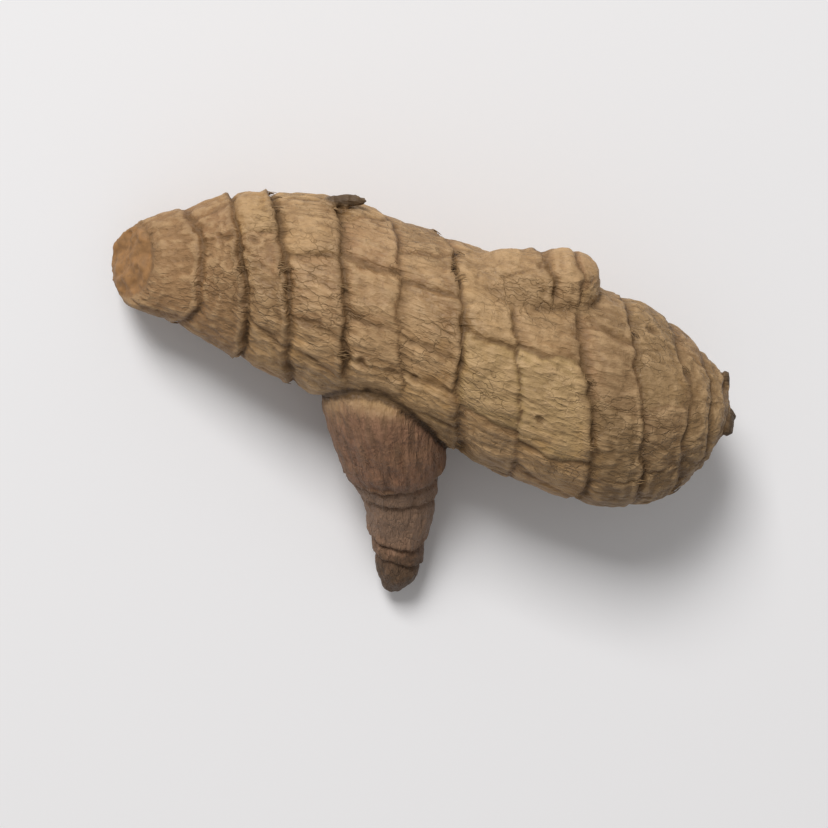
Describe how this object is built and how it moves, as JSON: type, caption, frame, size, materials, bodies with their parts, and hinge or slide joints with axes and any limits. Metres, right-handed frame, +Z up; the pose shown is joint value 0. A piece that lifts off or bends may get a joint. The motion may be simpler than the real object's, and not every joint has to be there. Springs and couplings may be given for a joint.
{
  "type": "turmeric root",
  "caption": "Fresh turmeric finger: a tapered, ringed rhizome lying on its side, with a broken neck, a rounded growing tip, a bud stub and a conical side shoot.",
  "frame": {"origin": "middle of the root's footprint, at the height of the surface it lies on", "axes": "+X along the finger from the broken neck to the growing tip, +Y to the flank with the bud stub, +Z up; the side shoot points to -Y"},
  "size_m": [0.0604, 0.0374, 0.0187],
  "materials": {
    "skin": "matte corky skin, tan with darker rings and earth in the cracks"
  },
  "bodies": {
    "root": {"turmeric_root": "skin"}
  },
  "joints": []
}
